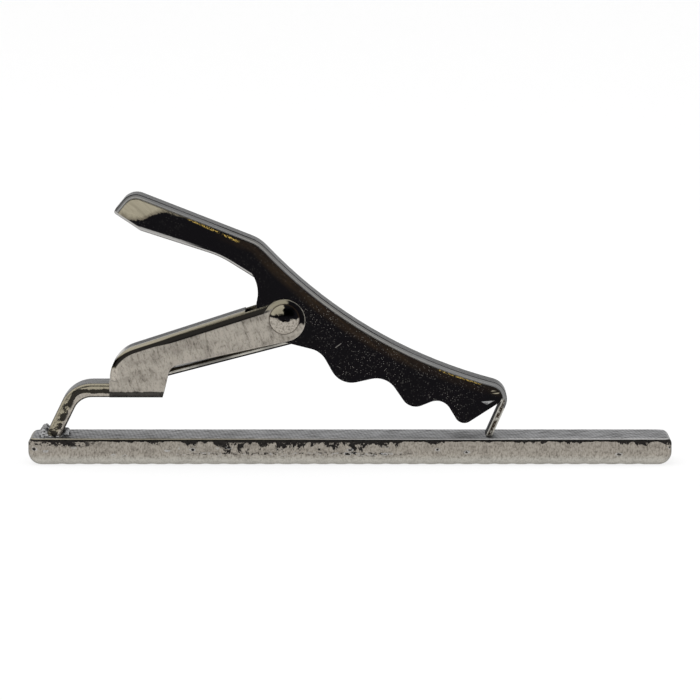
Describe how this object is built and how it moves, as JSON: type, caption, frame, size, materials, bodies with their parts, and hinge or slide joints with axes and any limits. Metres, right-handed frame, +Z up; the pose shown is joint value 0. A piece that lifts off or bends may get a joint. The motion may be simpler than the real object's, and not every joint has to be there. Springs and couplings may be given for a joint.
{
  "type": "tie clip",
  "caption": "Slim tie clip: a plated bar with a riveted, sprung clip of folded strip on its back. Squeezing the handle lifts the toothed jaw off the bar.",
  "frame": {"origin": "middle of the bar's front face, on which the clip lies", "axes": "+X along the bar from the post towards the free end, +Y across the bar, +Z up through the clip"},
  "size_m": [0.055, 0.006, 0.0231],
  "materials": {
    "satin_plate": "satin plate",
    "raw_plate": "pitted plate",
    "solder": "rough solder",
    "housing_plate": "satin plate",
    "black_nickel": "bright dark plate",
    "rivet_plate": "bright plate",
    "spring_steel": "blank strip"
  },
  "bodies": {
    "base": {"tie_bar": "satin_plate", "post": "raw_plate", "solder_bead": "solder", "spring_housing": "housing_plate", "pivot_rivet": "rivet_plate", "hairpin_spring": "spring_steel"},
    "lever": {"jaw_lever": "black_nickel"}
  },
  "joints": [
    {"name": "lever_pivot", "type": "hinge", "parent": "base", "child": "lever", "pos_m": [-0.0056, 0, 0.0125], "axis": [0, -1, 0], "range_deg": [0, 35], "stiffness_Nm_per_rad": 0.04, "springref_deg": -1.15, "deforming": ["hairpin_spring"]}
  ]
}
